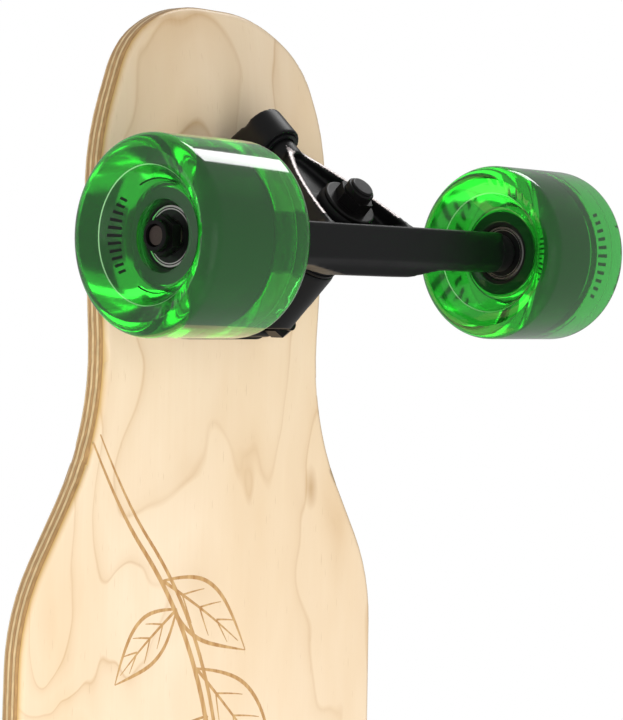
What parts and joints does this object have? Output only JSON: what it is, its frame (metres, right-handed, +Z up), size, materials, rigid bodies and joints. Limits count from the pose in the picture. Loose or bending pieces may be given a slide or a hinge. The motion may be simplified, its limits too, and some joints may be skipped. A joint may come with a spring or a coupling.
{
  "type": "longboard",
  "caption": "Cut-away maple longboard with reverse-kingpin trucks that steer on bushings and clear cast wheels that spin on ball bearings.",
  "frame": {"origin": "on the ground under the middle of the board, wheels standing on Z = 0", "axes": "+X toward the nose along the board, +Y to the left across it, +Z up through the deck"},
  "size_m": [0.98, 0.2442, 0.1298],
  "materials": {
    "maple": "clear satin lacquer over maple, ply stripes on the rim",
    "grip": "black grit",
    "riser": "moulded",
    "truck_black": "black satin powder coat over cast alloy",
    "hardware_black": "black oxide steel",
    "cup": "moulded",
    "bushing": "cast urethane",
    "steel": "zinc plated",
    "spacer": "turned",
    "race": "ground bearing steel",
    "shield": "moulded seal",
    "cage": "nylon",
    "urethane": "clear cast urethane",
    "core": "moulded nylon"
  },
  "bodies": {
    "board": {"deck": "maple", "grip_tape": "grip", "front_riser": "riser", "front_baseplate": "truck_black", "front_pivot_cup": "cup", "front_kingpin": "hardware_black", "front_board_bushing": "bushing", "front_road_bushing": "bushing", "front_board_washer": "hardware_black", "front_road_washer": "hardware_black", "front_kingpin_nut": "hardware_black", "front_mounting_bolts": "hardware_black", "front_mounting_nuts": "hardware_black", "rear_riser": "riser", "rear_baseplate": "truck_black", "rear_pivot_cup": "cup", "rear_kingpin": "hardware_black", "rear_board_bushing": "bushing", "rear_road_bushing": "bushing", "rear_board_washer": "hardware_black", "rear_road_washer": "hardware_black", "rear_kingpin_nut": "hardware_black", "rear_mounting_bolts": "hardware_black", "rear_mounting_nuts": "hardware_black"},
    "front_truck": {"front_hanger": "truck_black", "front_axle": "steel", "front_speed_rings": "steel", "front_axle_nuts": "hardware_black", "front_bearing_spacers": "spacer", "front_inner_races": "race"},
    "front_left_wheel": {"front_left_tyre": "urethane", "front_left_core": "core", "front_left_outer_races": "race", "front_left_shields": "shield"},
    "front_left_ball_set": {"front_left_balls": "race", "front_left_cages": "cage"},
    "front_right_wheel": {"front_right_tyre": "urethane", "front_right_core": "core", "front_right_outer_races": "race", "front_right_shields": "shield"},
    "front_right_ball_set": {"front_right_balls": "race", "front_right_cages": "cage"},
    "rear_truck": {"rear_hanger": "truck_black", "rear_axle": "steel", "rear_speed_rings": "steel", "rear_axle_nuts": "hardware_black", "rear_bearing_spacers": "spacer", "rear_inner_races": "race"},
    "rear_left_wheel": {"rear_left_tyre": "urethane", "rear_left_core": "core", "rear_left_outer_races": "race", "rear_left_shields": "shield"},
    "rear_left_ball_set": {"rear_left_balls": "race", "rear_left_cages": "cage"},
    "rear_right_wheel": {"rear_right_tyre": "urethane", "rear_right_core": "core", "rear_right_outer_races": "race", "rear_right_shields": "shield"},
    "rear_right_ball_set": {"rear_right_balls": "race", "rear_right_cages": "cage"}
  },
  "joints": [
    {"name": "front_steer", "type": "hinge", "parent": "board", "child": "front_truck", "pos_m": [0.40573, 0, 0.05196], "axis": [0.6691, 0, 0.7431], "range_deg": [-18, 18], "stiffness_Nm_per_rad": 40, "deforming": ["front_board_bushing", "front_road_bushing"]},
    {"name": "front_left_wheel_spin", "type": "hinge", "parent": "front_truck", "child": "front_left_wheel", "pos_m": [0.395, 0.0952, 0.035], "axis": [0, 1, 0], "continuous": true},
    {"name": "front_left_ball_set_spin", "type": "hinge", "parent": "front_truck", "child": "front_left_ball_set", "pos_m": [0.395, 0.0952, 0.035], "axis": [0, 1, 0], "continuous": true},
    {"name": "front_right_wheel_spin", "type": "hinge", "parent": "front_truck", "child": "front_right_wheel", "pos_m": [0.395, -0.0952, 0.035], "axis": [0, 1, 0], "continuous": true},
    {"name": "front_right_ball_set_spin", "type": "hinge", "parent": "front_truck", "child": "front_right_ball_set", "pos_m": [0.395, -0.0952, 0.035], "axis": [0, 1, 0], "continuous": true},
    {"name": "rear_steer", "type": "hinge", "parent": "board", "child": "rear_truck", "pos_m": [-0.40573, 0, 0.05196], "axis": [-0.6691, 0, 0.7431], "range_deg": [-18, 18], "stiffness_Nm_per_rad": 40, "deforming": ["rear_board_bushing", "rear_road_bushing"]},
    {"name": "rear_left_wheel_spin", "type": "hinge", "parent": "rear_truck", "child": "rear_left_wheel", "pos_m": [-0.395, 0.0952, 0.035], "axis": [0, 1, 0], "continuous": true},
    {"name": "rear_left_ball_set_spin", "type": "hinge", "parent": "rear_truck", "child": "rear_left_ball_set", "pos_m": [-0.395, 0.0952, 0.035], "axis": [0, 1, 0], "continuous": true},
    {"name": "rear_right_wheel_spin", "type": "hinge", "parent": "rear_truck", "child": "rear_right_wheel", "pos_m": [-0.395, -0.0952, 0.035], "axis": [0, 1, 0], "continuous": true},
    {"name": "rear_right_ball_set_spin", "type": "hinge", "parent": "rear_truck", "child": "rear_right_ball_set", "pos_m": [-0.395, -0.0952, 0.035], "axis": [0, 1, 0], "continuous": true}
  ],
  "couplings": [
    {"joint": "front_left_ball_set_spin", "follows": "front_left_wheel_spin", "ratio": 0.6323},
    {"joint": "front_right_ball_set_spin", "follows": "front_right_wheel_spin", "ratio": 0.6323},
    {"joint": "rear_left_ball_set_spin", "follows": "rear_left_wheel_spin", "ratio": 0.6323},
    {"joint": "rear_right_ball_set_spin", "follows": "rear_right_wheel_spin", "ratio": 0.6323}
  ]
}
